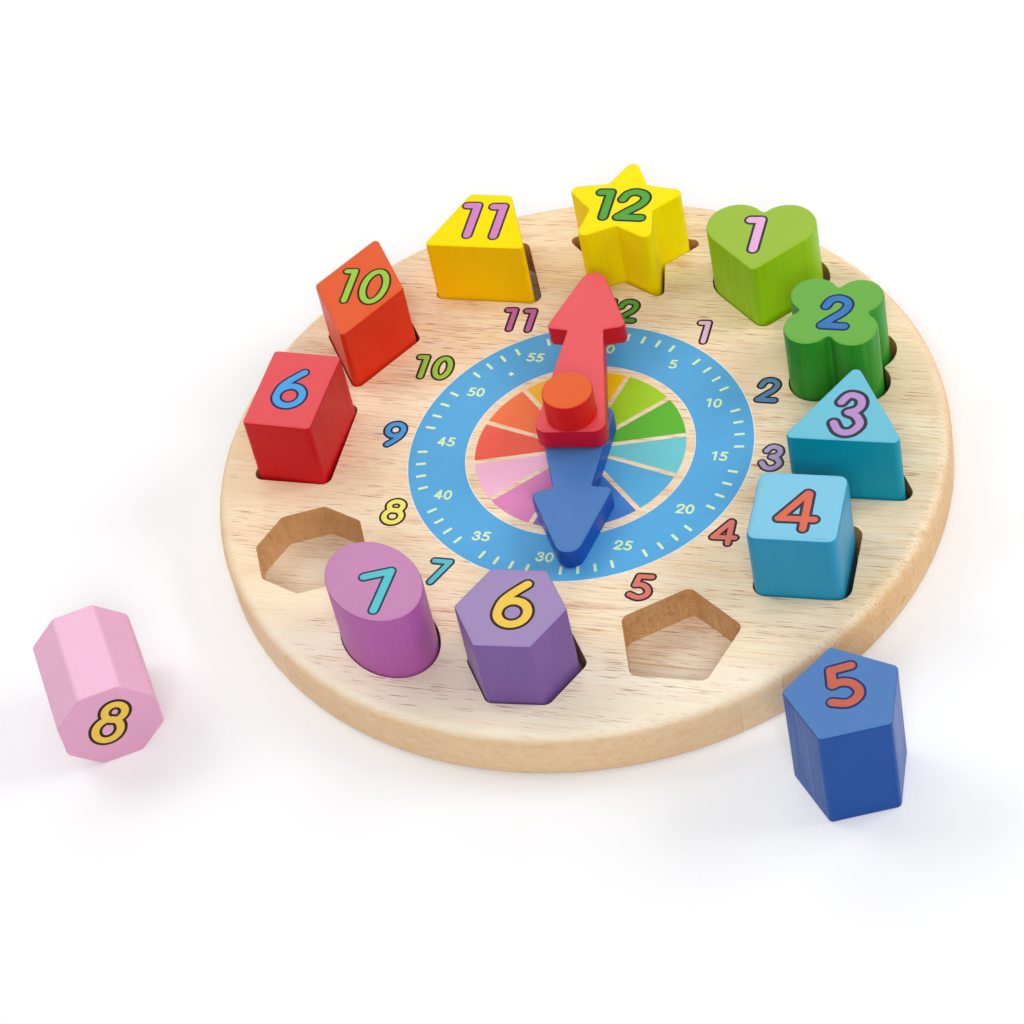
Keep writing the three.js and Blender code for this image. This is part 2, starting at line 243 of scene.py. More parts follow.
boardWood = {
    "pale": tone(253, 236, 206),
    "deep": tone(246, 219, 178),
    "amber": tone(233, 190, 137),
    "rosy": tone(246, 213, 172),
    "line": tone(200, 132, 78),
    "pore": tone(166, 84, 50),
    # paler than the wood's own cream: partly painted light, for the shaded front and the pocket floors
    "creamy": tone(255, 246, 226),
    # a pale warm tone: painted light for the patch that the star and heart shade
    "paintedLightPeach": tone(255, 225, 187),
    "rimTint": tone(243, 228, 208),
    "wallTint": tone(216, 189, 155),
    "grainTurn": 1.4,  # degrees about Z
    "staveWidth": 47 * mm,
    "staveLength": 330 * mm,
    "staveStart": 21 * mm,
    "pieceShift": 290 * mm,  # the furthest that chance moves the ends of a row's staves
    "rowSeed": 3.7,
    "pieceSeed": 5.3,
    "wanderScale": (7, 16),  # along and across the grain
    "wanderDetail": 2,
    "wander": 9 * mm,
    "grainShift": 4,
    "streaks": {
        # name: length and width in mm, the noise's detail and roughness, and the soft step that shows it
        "bands": ((260, 13), (3, 0.55), (0.36, 0.68, 0, 1)),
        "grain": ((70, 1.1), (5, 0.62), (0.48, 0.72, 0, 0.62)),
        "fine": ((18, 0.5), (3, 0.6), (0.48, 0.76, 0, 0.5)),
        "lines": ((38, 0.9), (4, 0.7), (0.54, 0.68, 0, 0.68)),
        "blush": ((60, 30), (2, 0.5), (0.5, 0.72, 0, 0.28)),
        "smudges": ((40, 5), (3, 0.5), (0.58, 0.74, 0, 0.36)),
        "bundles": ((90, 9), (2, 0.5), (0.4, 0.62, 0.15, 1)),
        "dashes": ((12, 0.5), (1.5, 0.5), (0.62, 0.72, 0, 0.72)),
        "crowds": ((60, 8), (2, 0.5), (0.35, 0.65, -0.05, 0.05)),
    },
    "staveTone": 0.15,
    "rimStart": 139.5 * mm,
    # how much painted light, a blend to cream, the pocket floors get
    "pocketPaintedLight": 0.8,
    "sunkLively": 0.5,
    "plainLively": 0.5,
    # how much of that painted light shows
    "paintedLightPatchShare": 0.6,
    "warmFray": 50 * mm,
    "buttShare": 0.25,
    "mottleScale": (260, 260, 420),
    "mottleNoise": (4, 0.6),  # detail and roughness
    "cutterScale": (600, 600, 130),
    "cutterNoise": (3, 0.6),
    "pieceTone": 0.35,
    # soft steps: where each begins and ends, and its value before and after
    "uprightStep": (0.35, 0.95, 1, 0),
    "frontStep": (-108 * mm, -82 * mm, 0.65, 0),
    "pocketStep": (8 * mm, 18 * mm, 1, 0),
    "leftSteps": ((-75 * mm, -50 * mm, 1, 0), (-20 * mm, 5 * mm, 1, 0)),  # along X, then along Y
    "paintedLightPatchSteps": ((10 * mm, 40 * mm, 0, 1), (20 * mm, 50 * mm, 0, 1)),
    "warmStep": (-125 * mm, -55 * mm, 0.3, 0),
    "poreUprightStep": (0, 0.6, 1, 0.15),
    "poreRimStep": (138.5 * mm, 141.5 * mm, 1, 0.1),
    "seamStep": (0.4955, 0.4995, 0, 1),
    "seamUprightStep": (0, 1, 0.06, 0.2),
    "buttStep": (0.4988, 0.4999, 0, 1),
    "mottleStep": (0.4, 0.75, 0, 0.25),
    "cutterStep": (0.42, 0.72, 0, 0.26),
    # the painted contact shadow along the rim's bottom edge
    "contactShadowStep": (0.6 * mm, 2.2 * mm, 0.5, 0),
    "roughStep": (0.3, 0.8, 0.42, 0.58),
    "bumpShares": (0.35, 0.3),  # of the fine grain and of the pores
    "bump": (0.35, 0.06 * mm),
    "gloss": 0.24,
}


def woodStaves(recipe, settings, x, y):
    # each stave has its own tone, and its grain starts at another place
    across = recipe.maths("DIVIDE", recipe.plus(y, settings["staveStart"]), settings["staveWidth"])
    row = recipe.maths("FLOOR", across)
    rowChance = recipe.chance(recipe.plus(row, settings["rowSeed"]))
    shifted = recipe.plus(x, recipe.times(rowChance, settings["pieceShift"]))
    along = recipe.maths("DIVIDE", shifted, settings["staveLength"])
    piece = recipe.plus(recipe.times(row, settings["pieceSeed"]), recipe.maths("FLOOR", along))
    return across, along, rowChance, recipe.chance(piece)


def woodStreaks(recipe, settings, x, y, z, rowChance):
    # noises drawn out along the grain, which wanders a little to the side along its length
    alongScale, acrossScale = settings["wanderScale"]
    slow = recipe.gather(recipe.times(x, alongScale), recipe.times(y, acrossScale), rowChance)
    sway = recipe.minus(recipe.noise(slow, settings["wanderDetail"]), 0.5)
    wander = recipe.times(sway, settings["wander"])
    side = recipe.plus(y, wander)
    shift = recipe.times(rowChance, settings["grainShift"])
    streaks = {}
    for name, ((long, wide), noise, _) in settings["streaks"].items():
        stretched = recipe.gather(
            recipe.plus(recipe.maths("DIVIDE", x, long * mm), shift),
            recipe.maths("DIVIDE", side, wide * mm),
            recipe.maths("DIVIDE", z, wide * mm),
        )
        streaks[name] = recipe.noise(stretched, *noise)
    return streaks


def makeBoardWood(settings):
    recipe = Recipe("lacquered_pale_wood")
    x, y, z = recipe.split(recipe.mapped(turn=settings["grainTurn"]))
    across, along, rowChance, pieceChance = woodStaves(recipe, settings, x, y)
    streaks = woodStreaks(recipe, settings, x, y, z, rowChance)

    def step(value, name):
        return recipe.spread(value, *settings[name])

    def part(name):
        # a part of the board, between soft steps along X and along Y
        alongX, alongY = settings[name]
        return recipe.times(recipe.spread(x, *alongX), recipe.spread(y, *alongY))

    def shown(name, value=None):
        return recipe.spread(value or streaks[name], *settings["streaks"][name][2])

    # which way a surface looks, and whether it is the rim or inside a pocket
    _, _, facing = recipe.split(recipe.place.outputs["Normal"])
    upright = step(recipe.maths("ABSOLUTE", facing), "uprightStep")
    reach = recipe.reach(x, y)
    outside = recipe.maths("GREATER_THAN", reach, settings["rimStart"])
    rim = recipe.times(upright, outside)
    wall = recipe.minus(upright, rim)
    # the front of the board is creamy with little grain, a cream made paler to lift the blocks' shade there,
    # so partly painted light; the pocket floors are blended to cream too, as painted light in their shade,
    # but keep more grain
    front = step(y, "frontStep")
    sunk = recipe.times(step(z, "pocketStep"), recipe.minus(1.0, outside))
    creamyWithPaintedLight = recipe.larger(front, recipe.times(sunk, settings["pocketPaintedLight"]))
    lively = recipe.minus(recipe.plus(1.0, recipe.times(sunk, settings["sunkLively"])), front)
    # left of the dial the wood is plainer; at the rear right, where the star and heart shade the board, it is
    # plainer too and blended to a pale warm tone, both painted light
    paintedLightPatch = part("paintedLightPatchSteps")
    plain = recipe.larger(part("leftSteps"), paintedLightPatch)
    lively = recipe.times(lively, recipe.spread(plain, 0, 1, 1, settings["plainLively"]))

    colour = recipe.blend(shown("bands"), settings["pale"], settings["deep"])
    staveTone = recipe.spread(rowChance, 0, 1, 0, settings["staveTone"], smooth=False)
    colour = recipe.blend(staveTone, colour, settings["deep"])
    # painted light: the rear right patch is blended to a pale warm tone to lift the blocks' shade
    colour = recipe.blend(recipe.times(paintedLightPatch, settings["paintedLightPatchShare"]), colour, settings["paintedLightPeach"])
    # cream: partly the front's own pale wood, partly painted light at the front and in the pockets
    colour = recipe.blend(creamyWithPaintedLight, colour, settings["creamy"])
    colour = recipe.blend(recipe.times(shown("grain"), lively), colour, settings["amber"])
    colour = recipe.blend(shown("blush"), colour, settings["rosy"])
    colour = recipe.blend(recipe.times(shown("fine"), lively), colour, settings["line"])
    colour = recipe.blend(recipe.times(shown("smudges"), lively), colour, settings["line"])
    # dark hairlines run in bundles
    hairline = recipe.times(shown("lines"), shown("bundles"))
    colour = recipe.blend(recipe.times(hairline, lively), colour, settings["line"])
    # the left side of the board is a warmer piece of wood
    warm = step(recipe.plus(x, recipe.times(streaks["bands"], settings["warmFray"])), "warmStep")
    colour = recipe.blend(warm, colour, settings["deep"])
    # pores are short thin brown dashes, denser in some bands than in others and faint on the cut faces
    pore = shown("dashes", recipe.plus(streaks["dashes"], shown("crowds")))
    pore = recipe.times(pore, step(upright, "poreUprightStep"))
    pore = recipe.times(pore, step(reach, "poreRimStep"))
    colour = recipe.blend(pore, colour, settings["pore"])
    # glue lines between the staves show on the cut faces and faintly on top,
    # and the joints at the staves' ends only on the cut faces
    seam = recipe.times(step(recipe.fromMiddle(across), "seamStep"), step(upright, "seamUprightStep"))
    butt = step(recipe.fromMiddle(along), "buttStep")
    butt = recipe.times(butt, recipe.times(upright, settings["buttShare"]))
    colour = recipe.blend(recipe.larger(seam, butt), colour, settings["pore"])
    # cut faces are darker: the turned rim a little, with soft mottling,
    # and the routed walls more, with cutter marks
    mottle = recipe.noise(recipe.mapped(settings["mottleScale"]), *settings["mottleNoise"])
    cutter = recipe.noise(recipe.mapped(settings["cutterScale"]), *settings["cutterNoise"])
    cutTone = recipe.plus(step(mottle, "mottleStep"), recipe.times(pieceChance, settings["pieceTone"]))
    colour = recipe.blend(recipe.times(upright, cutTone), colour, settings["amber"])
    colour = recipe.blend(rim, colour, settings["rimTint"], "MULTIPLY")
    colour = recipe.blend(wall, colour, settings["wallTint"], "MULTIPLY")
    marks = recipe.times(wall, step(cutter, "cutterStep"))
    colour = recipe.blend(marks, colour, settings["line"], "MULTIPLY")
    # the rim's bottom edge is painted dark brown: painted contact shadow where the board meets the floor
    contactShadow = recipe.times(step(z, "contactShadowStep"), outside)
    colour = recipe.blend(contactShadow, colour, settings["pore"])

    rough = step(streaks["grain"], "roughStep")
    fineShare, poreShare = settings["bumpShares"]
    height = recipe.minus(recipe.times(streaks["fine"], fineShare), recipe.times(pore, poreShare))
    recipe.bump(height, *settings["bump"])
    return recipe.finish(colour, rough, settings["gloss"])


# paint on the blocks, hands and knob

paintFinish = {
    "streakWidth": 2.6 * mm,
    "streakLength": 60 * mm,
    "streakNoise": (4, 0.65),  # detail and roughness
    "streakStep": (0.46, 0.66),
    "cloudScale": (60, 60, 40),
    "cloudStep": (0.35, 0.7, 0, 0.25),
    "speckle": 0.5 * mm,
    "speckStep": (0.45, 0.75, 0, 0.15),
    "softDetail": 2,  # for the clouds and the speckle
    # where the top colour, with its painted sheen, takes over from the side colour
    "paintedSheenTopStep": (0.45, 0.95),
    "lighter": (1.14, 1.08),  # on the sides, then on top
    "darker": (0.86, 0.9),
    "roughStep": (0.3, 0.75, 0.32, 0.46),
    "bumpShares": (0.45, 0.35),  # of the streaks and of the speckle
    "bump": (0.3, 0.05 * mm),
}


def makePaint(name, side, top, dark, streaks, gloss, grainAlong, turn):
    # the tops are painted paler than the sides: painted sheen from the lamps above; on the sides the grain
    # shows as darker streaks
    settings = paintFinish
    recipe = Recipe(name)
    wide, long = 1 / settings["streakWidth"], 1 / settings["streakLength"]
    stretched = recipe.mapped([long if axis == grainAlong else wide for axis in "xyz"], turn)
    streak = recipe.noise(stretched, *settings["streakNoise"])
    cloud = recipe.noise(recipe.mapped(settings["cloudScale"]), settings["softDetail"])
    speck = recipe.noise(recipe.mapped((1 / settings["speckle"],) * 3), settings["softDetail"])
    _, _, facing = recipe.split(recipe.place.outputs["Normal"])
    paintedSheenTop = recipe.spread(facing, *settings["paintedSheenTopStep"])
    streakShown = recipe.spread(streak, *settings["streakStep"], 0, streaks)
    colour = recipe.blend(streakShown, side, shaded(side, dark))
    # painted sheen: faces that look up take the paler top colour
    colour = recipe.blend(paintedSheenTop, colour, top)
    lighter, darker = [
        recipe.blend(paintedSheenTop, shaded(side, onSides), shaded(top, onTop))
        for onSides, onTop in (settings["lighter"], settings["darker"])
    ]
    colour = recipe.blend(recipe.spread(cloud, *settings["cloudStep"]), colour, lighter)
    colour = recipe.blend(recipe.spread(speck, *settings["speckStep"]), colour, darker)
    rough = recipe.spread(streak, *settings["roughStep"])
    streakShare, speckShare = settings["bumpShares"]
    height = recipe.plus(recipe.times(streak, streakShare), recipe.times(speck, speckShare))
    recipe.bump(height, *settings["bump"])
    return recipe.finish(colour, rough, gloss)


# printing ink on the dial and for the numbers

inkFinish = {
    "grainScale": (30, 900, 900),
    "grainNoise": (4, 0.6),  # detail and roughness
    "grainStep": (0.48, 0.78, 0, 0.3),
    "grainTone": 0.78,
    "blotchScale": (90, 140, 90),
    "blotchStep": (0.4, 0.75, 0, 0.22),
    "blotchTone": 1.15,
    "roughStep": (0.3, 0.8),
    "roughChange": (-0.06, 0.08),
    "bump": (0.25, 0.06 * mm),
}


def makeInk(name, colour, rough=0.5, gloss=0.22):
    # thin enough for the wood's grain to show a little
    settings = inkFinish
    recipe = Recipe(name)
    grain = recipe.noise(recipe.mapped(settings["grainScale"]), *settings["grainNoise"])
    blotch = recipe.noise(recipe.mapped(settings["blotchScale"]))
    grainShown = recipe.spread(grain, *settings["grainStep"])
    mixed = recipe.blend(grainShown, colour, shaded(colour, settings["grainTone"]))
    blotchShown = recipe.spread(blotch, *settings["blotchStep"])
    mixed = recipe.blend(blotchShown, mixed, shaded(colour, settings["blotchTone"]))
    roughLimits = [rough + change for change in settings["roughChange"]]
    roughness = recipe.spread(grain, *settings["roughStep"], *roughLimits)
    recipe.bump(grain, *settings["bump"])
    return recipe.finish(mixed, roughness, gloss)


# camera, floor and lights

camera = {
    "place": (0.3070, -0.8011, 0.8979),
    "lens": 109.9,
    "sensor": 36,
    "turn": (2.3946, 0.2051, -0.2989),  # an axis, as long as the turn about it in radians
}


def makeCamera(settings):
    data = bpy.data.cameras.new("camera")
    data.lens = settings["lens"]
    data.sensor_width = settings["sensor"]
    obj = bpy.data.objects.new("camera", data)
    bpy.context.scene.collection.objects.link(obj)
    axis = Vector(settings["turn"])
    spin = Matrix.Rotation(axis.length, 3, axis)
    right, down, ahead = spin
    obj.matrix_world = Matrix((right, -down, -ahead)).transposed().to_4x4()
    obj.location = settings["place"]
    bpy.context.scene.camera = obj


white = (1, 1, 1, 1)

studio = {
    "floorSize": 12,
    "floorColour": (0.83, 0.83, 0.84, 1),
    "fleckColour": (0.8, 0.8, 0.8, 1),
    "fleckScale": (400, 400, 400),
    "fleckDetail": 2,
    "fleckStep": (0.3, 0.8, 0, 0.03),
    "floorRoughness": 0.9,
    "floorGloss": 0.1,
    "floorGlow": 0.19,
    "farGlow": 0.72,  # far off, where the lamps no longer reach
    "fade": (0.7, 2.6),
    "skyStrength": 0.31,
    "aim": (0, 0, 0.03),
    "lamps": {
        # name: place, size in metres, power in watts
        "back_softbox": ((-0.55, 1.35, 1.35), (1.5, 1.1), 7.5),
        "left_softbox": ((-1.1, 0.25, 1.15), (0.8, 0.7), 6.6),
        "right_softbox": ((1.25, 0.5, 1.0), (0.9, 0.55), 10),
        "front_softbox": ((0.75, -2.25, 1.95), (1.35, 1.05), 35),
    },
}


def whiteRays(nodes, links):
    # 1 for what the camera sees directly, in a shiny surface or through a clear one
    path = nodes.new("ShaderNodeLightPath")
    either = path.outputs["Is Camera Ray"]
    for kind in ("Is Glossy Ray", "Is Transmission Ray"):
        larger = nodes.new("ShaderNodeMath")
        larger.operation = "MAXIMUM"
        links.new(either, larger.inputs[0])
        links.new(path.outputs[kind], larger.inputs[1])
        either = larger.outputs["Value"]
    return either


def makeFloor(settings):
    clearSelection()
    bpy.ops.mesh.primitive_plane_add(size=settings["floorSize"], location=(0, 0, 0))
    floor = bpy.context.object
    floor.name = "floor"
    recipe = Recipe("pale_paper_floor")
    flecks = recipe.noise(recipe.mapped(settings["fleckScale"]), settings["fleckDetail"])
    fleckShown = recipe.spread(flecks, *settings["fleckStep"])
    colour = recipe.blend(fleckShown, settings["floorColour"], settings["fleckColour"])
    recipe.finish(colour, settings["floorRoughness"], settings["floorGloss"])
    seen = whiteRays(recipe.nodes, recipe.links)
    x, y, _ = recipe.split(recipe.place.outputs["Object"])
    far = recipe.reach(x, y)
    glow = recipe.spread(far, *settings["fade"], settings["floorGlow"], settings["farGlow"])
    recipe.join(recipe.times(seen, glow), recipe.shader.inputs["Emission Strength"])
    recipe.shader.inputs["Emission Color"].default_value = white
    wear(floor, recipe.material)


def makeLamps(settings):
    for name, (place, size, power) in settings["lamps"].items():
        data = bpy.data.lights.new(name, "AREA")
        data.shape = "RECTANGLE"
        data.size, data.size_y = size
        data.energy = power
        lamp = bpy.data.objects.new(name, data)
        bpy.context.scene.collection.objects.link(lamp)
        lamp.location = place
        lamp.rotation_euler = (Vector(settings["aim"]) - Vector(place)).to_track_quat("-Z", "Y").to_euler()


def makeRoom(settings):
    # a dim white sky lights the scene, and a pure white backdrop is what the camera sees of it
    world = bpy.data.worlds.new("white_room")
    world.use_nodes = True
    bpy.context.scene.world = world
    nodes, links = world.node_tree.nodes, world.node_tree.links
    room = nodes["Background"]
    backdrop = nodes.new("ShaderNodeBackground")
    for node, strength in ((room, settings["skyStrength"]), (backdrop, 1)):
        node.inputs["Color"].default_value = white
        node.inputs["Strength"].default_value = strength
    choice = nodes.new("ShaderNodeMixShader")
    links.new(whiteRays(nodes, links), choice.inputs["Fac"])
    links.new(room.outputs["Background"], choice.inputs[1])
    links.new(backdrop.outputs["Background"], choice.inputs[2])
    links.new(choice.outputs["Shader"], nodes["World Output"].inputs["Surface"])
    bpy.context.scene.view_settings.view_transform = "Standard"


makeCamera(camera)
makeFloor(studio)
makeLamps(studio)
makeRoom(studio)
print("clock puzzle: camera, floor and lights")


# the solid pieces are smooth copies of the CAD nodes, dressed in wood or paint

smoothing = {
    "weld": 0.002 * mm,
    "sharpAngle": 38,  # degrees
    "faceWeight": 80,
}


def smoothCopy(node, name, material):
    piece = bpy.data.objects.new(name, frame["nodes"][node].data.copy())
    bpy.context.scene.collection.objects.link(piece)
    piece.data.name = name
    editAll(piece)
    bpy.ops.mesh.remove_doubles(threshold=smoothing["weld"])
    doneEditing()
    bpy.ops.mesh.customdata_custom_splitnormals_clear()
    bpy.ops.object.shade_smooth_by_angle(angle=math.radians(smoothing["sharpAngle"]))
    applyModifier(piece, "WEIGHTED_NORMAL", keep_sharp=True, weight=smoothing["faceWeight"])
    wear(piece, material)
    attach(piece, frame["nodes"][node]["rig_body"])
    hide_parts(node)


wood = makeBoardWood(boardWood)
smoothCopy("board", "round_wooden_board", wood)
smoothCopy("pivot_dowel", "pivot_pin", wood)
print("clock puzzle: board in wood")

paints = {
    # node: piece, side, top (paler than the side: painted sheen), how dark the streaks are, how much of them
    # shows, gloss
    "block_12_star": ("star_block", tone(250, 224, 0), tone(250, 230, 6), 0.84, 0.3, 0.08),
    "block_1_heart": ("heart_block", tone(146, 198, 4), tone(154, 188, 57), 0.7, 0.32, 0.16),
    "block_2_quatrefoil": ("clover_block", tone(42, 146, 36), tone(101, 170, 61), 0.5, 0.5, 0.22),
    "block_3_triangle": ("triangle_block", tone(0, 148, 171), tone(109, 192, 214), 0.85, 0.3, 0.16),
    "block_4_square": ("square_block", tone(40, 152, 192), tone(127, 199, 228), 0.85, 0.2, 0.2),
    "block_5_pentagon": ("pentagon_block", tone(14, 77, 158), tone(78, 124, 184), 0.85, 0.1, 0.2),
    "block_6_hexagon": ("hexagon_block", tone(124, 90, 158), tone(158, 136, 184), 0.84, 0.12, 0.2),
    "block_7_ellipse": ("ellipse_block", tone(178, 94, 168), tone(196, 132, 178), 0.82, 0.3, 0.2),
    "block_8_octagon": ("octagon_block", tone(231, 168, 200), tone(244, 190, 217), 0.92, 0.15, 0.2),
    "block_9_rectangle": ("rectangle_block", tone(200, 12, 22), tone(226, 78, 84), 0.85, 0.14, 0.18),
    "block_10_rhombus": ("rhombus_block", tone(220, 50, 18), tone(226, 88, 36), 0.84, 0.25, 0.16),
    "block_11_trapezoid": ("trapezoid_block", tone(254, 205, 0), tone(249, 226, 0), 0.84, 0.2, 0.05),
    "hour_hand": ("blue_arrow", tone(14, 74, 168), tone(71, 120, 183), 0.85, 0.2, 0.22),
    "minute_hand": ("red_arrow", tone(203, 15, 44), tone(229, 84, 90), 0.9, 0.15, 0.22),
    "pivot_knob": ("orange_knob", tone(224, 26, 14), tone(228, 97, 44), 0.9, 0.15, 0.14),
}

# the octagon's block lies down: the way its numbered end looks in degrees, and that end's middle in mm
octagonEnd = {"heading": -58.1, "centre": (-147.5, -153.0, 19.1)}

# the grain runs up a block unless it is listed here: the axis it runs along, and a turn in degrees
grainWays = {"hour_hand": ("y", 0), "minute_hand": ("y", 0), "block_8_octagon": ("x", -octagonEnd["heading"])}

for node, (name, *look) in paints.items():
    grainAlong, turn = grainWays.get(node, ("z", 0))
    smoothCopy(node, name, makePaint(name + "_paint", *look, grainAlong, turn))
print("clock puzzle: blocks, hands and knob painted")


# the printed dial, all thin films on the board's top

dial = {
    "top": 21.0 * mm,
    "film": 0.06 * mm,
    "ringMiddle": (0.45 * mm, -0.2 * mm),
    "ringOuter": 68.5 * mm,
    "ringInner": 45.7 * mm,
    "paleEdge": 0.32 * mm,
    "wheelMiddle": (0.45 * mm, 0.1 * mm),
    "wheelRadius": 41.9 * mm,
    "wheelGap": 2.0 * mm,
    "tickMiddle": (0.2 * mm, -0.35 * mm),
    "tickRadius": 63.1 * mm,
    "tickLength": 4.0 * mm,
    "tickWidth": 1.15 * mm,
    "tickCorner": 0.18 * mm,
    # heights above the board, as shares of the film
    "undercoatHeight": 0.5,
    "tickLift": 0.7,
    "digitLift": 1.1,
    "chipLift": 1.05,
    "chipThickness": 0.3,  # a share of the film too
    # the digits' sizes in mm
    "digit": {
        "height": 4.05, "width": 2.5, "oneWidth": 1.2, "apart": 3.75, "halfWidth": 0.46, "thickness": 0.05,
    },
    "sides": 192,
    "ringColour": tone(85, 170, 223),
    "markColour": tone(222, 246, 190),
    "edgeColour": tone(250, 246, 236),
    "chip": {
        "place": (-36.7 * mm, 38.3 * mm), "radius": 0.95 * mm, "corners": 11, "uneven": 0.28, "wave": 2.4,
    },
    "sectors": [
        ("yellow", tone(246, 205, 10)), ("lime", tone(164, 212, 28)), ("green", tone(91, 181, 42)),
        ("turquoise", tone(110, 203, 211)), ("midblue", tone(86, 174, 221)), ("blue", tone(64, 128, 204)),
        ("violet", tone(140, 110, 185)), ("magenta", tone(222, 133, 187)), ("pink", tone(251, 189, 218)),
        ("red", tone(242, 94, 73)), ("orange", tone(248, 121, 69)), ("amber", tone(250, 190, 46)),
    ],
    "minutePlaces": [
        # minute, then the middle of its number in mm
        (60, -1.0, 55.3), (5, 28.1, 48.7), (10, 48.3, 28.7), (15, 55.9, 0.6), (20, 48.2, -27.8),
        (25, 28.1, -48.3), (30, -0.8, -56.9), (35, -28.1, -48.7), (40, -48.4, -28.8), (45, -54.2, -0.7),
        (50, -48.8, 27.2), (55, -28.9, 48.3),
    ],
}


def ringFilm(name, outer, inner, height, material):
    clearSelection()
    bpy.ops.mesh.primitive_circle_add(
        vertices=dial["sides"], radius=outer, fill_type="NGON", location=(*dial["ringMiddle"], dial["top"])
    )
    piece = bpy.context.object
    piece.name = name
    editAll(piece)
    bpy.ops.mesh.inset(thickness=outer - inner, depth=0)
    bpy.ops.mesh.delete(type="FACE")  # the inset face in the middle is still picked
    doneEditing()
    bakePlace(piece)
    applyModifier(piece, "SOLIDIFY", thickness=height, offset=1)
    wear(piece, material)
    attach(piece, "board")


def wedgeFilm(name, turn, material):
    # a disc cut by two planes, which stand half a gap off the lines between the hours
    clearSelection()
    bpy.ops.mesh.primitive_circle_add(
        vertices=dial["sides"], radius=dial["wheelRadius"], fill_type="NGON", location=(0, 0, 0)
    )
    piece = bpy.context.object
    piece.name = name
    halfHour = math.radians(15)
    for side in (-1, 1):
        normal = Vector((side * math.cos(halfHour), -math.sin(halfHour), 0))
        editAll(piece)
        bpy.ops.mesh.bisect(plane_co=-normal * dial["wheelGap"] / 2, plane_no=normal, clear_outer=True)
        doneEditing()
    applyModifier(piece, "SOLIDIFY", thickness=dial["film"], offset=1)
    piece.location = (*dial["wheelMiddle"], dial["top"])
    piece.rotation_euler = (0, 0, turn)
    bakePlace(piece)
    wear(piece, material)
    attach(piece, "board")


ringInk = makeInk("blue_ring_ink", dial["ringColour"])
markInk = makeInk("pale_yellow_ink", dial["markColour"])
edgeInk = makeInk("white_undercoat", dial["edgeColour"])
ringFilm("blue_minute_ring", dial["ringOuter"], dial["ringInner"], dial["film"], ringInk)
ringFilm("ring_undercoat", dial["ringOuter"] + dial["paleEdge"], dial["ringInner"] - dial["paleEdge"],
         dial["film"] * dial["undercoatHeight"], edgeInk)
for hour, (colourName, colour) in enumerate(dial["sectors"]):
    sectorInk = makeInk(colourName + "_sector_ink", colour)
    wedgeFilm("wheel_sector_" + colourName, -math.radians(30 * hour), sectorInk)


def tickMarks():
    # one bar with softened corners, copied to every minute that has no number
    clearSelection()
    bpy.ops.mesh.primitive_plane_add(size=1, location=(0, 0, 0))
    first = bpy.context.object
    first.scale = (dial["tickWidth"], dial["tickLength"], 1)
    bakePlace(first)
    editAll(first)
    bpy.ops.mesh.bevel(offset=dial["tickCorner"], segments=2, affect="VERTICES")
    doneEditing()
    applyModifier(first, "SOLIDIFY", thickness=dial["film"], offset=1)
    parts = []
    for minute in range(60):
        if minute % 5 == 0:
            continue
        angle = math.radians(6 * minute)
        mark = bpy.data.objects.new("tick", first.data.copy())
        bpy.context.scene.collection.objects.link(mark)
        mark.location = (
            dial["tickMiddle"][0] + dial["tickRadius"] * math.sin(angle),
            dial["tickMiddle"][1] + dial["tickRadius"] * math.cos(angle),
            dial["top"] + dial["film"] * dial["tickLift"],
        )
        mark.rotation_euler = (0, 0, -angle)
        parts.append(mark)
    bpy.data.objects.remove(first)
    ticks = joined("minute_ticks", parts)
    bakePlace(ticks)
    wear(ticks, markInk)
    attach(ticks, "board")


tickMarks()
print("clock puzzle: dial film and ticks")


# the outlined numbers on the board and the blocks

# centre lines of the digits: "bent" turns corners, "curved" is smooth, "loop" is an oval (x, y, across, up)
digitLines = {
    "0": [("loop", (0, 0, 3.0, 5.4))],
    "1": [("bent", [(-1.5, 5.2), (1.4, 5.35), (1.2, -5.3)])],
    "flag1": [("bent", [(-1.3, 3.4), (0.5, 5.2), (0.5, -5.3)])],
    "2": [("curved", [(-2.8, 2.2), (-1.8, 4.6), (0.2, 5.5), (2.4, 4.6), (3.1, 2.6), (2.0, 0), (-0.6, -2.8),
                      (-2.8, -5.4)]),
          ("bent", [(-2.8, -5.4), (3.2, -5.4)])],
    "3": [("curved", [(-2.6, 3.4), (-1.4, 5.2), (0, 5.7), (2, 5), (2.8, 3.2), (2, 1.4), (-0.2, 0.4)]),
          ("curved", [(-0.2, 0.4), (2, -0.5), (3.4, -2.8), (2, -5), (0, -5.7), (-2, -5), (-3.4, -3)])],
    "4": [("bent", [(1.4, 5.4), (-4.2, -2.8), (4.2, -2.5)]), ("bent", [(1.8, 5.2), (2.0, -5.5)])],
    "5": [("bent", [(3.4, 5.2), (-1.1, 5.1), (-1.8, 0.8)]),
          ("curved", [(-1.8, 0.8), (0.2, 1.1), (2.4, 0), (3.4, -2.4), (2.4, -4.4), (0, -5.3), (-3.0, -4.1)])],
    "6": [("loop", (0, -2.4, 3.25, 3.25)), ("curved", [(-3.25, -2.4), (-2.8, 0.4), (-1.2, 2.8), (1.4, 5.6)])],
    "7": [("bent", [(-3, 5.2), (3.0, 5.1), (-2.1, -5.4)])],
    "8": [("loop", (0.1, 3.2, 2.75, 2.4)), ("loop", (0, -2.2, 3.4, 3.25))],
    "9": [("loop", (0, 2.4, 3.25, 3.25)), ("curved", [(3.25, 2.4), (2.8, -0.4), (1.2, -2.8), (-1.4, -5.6)])],
}

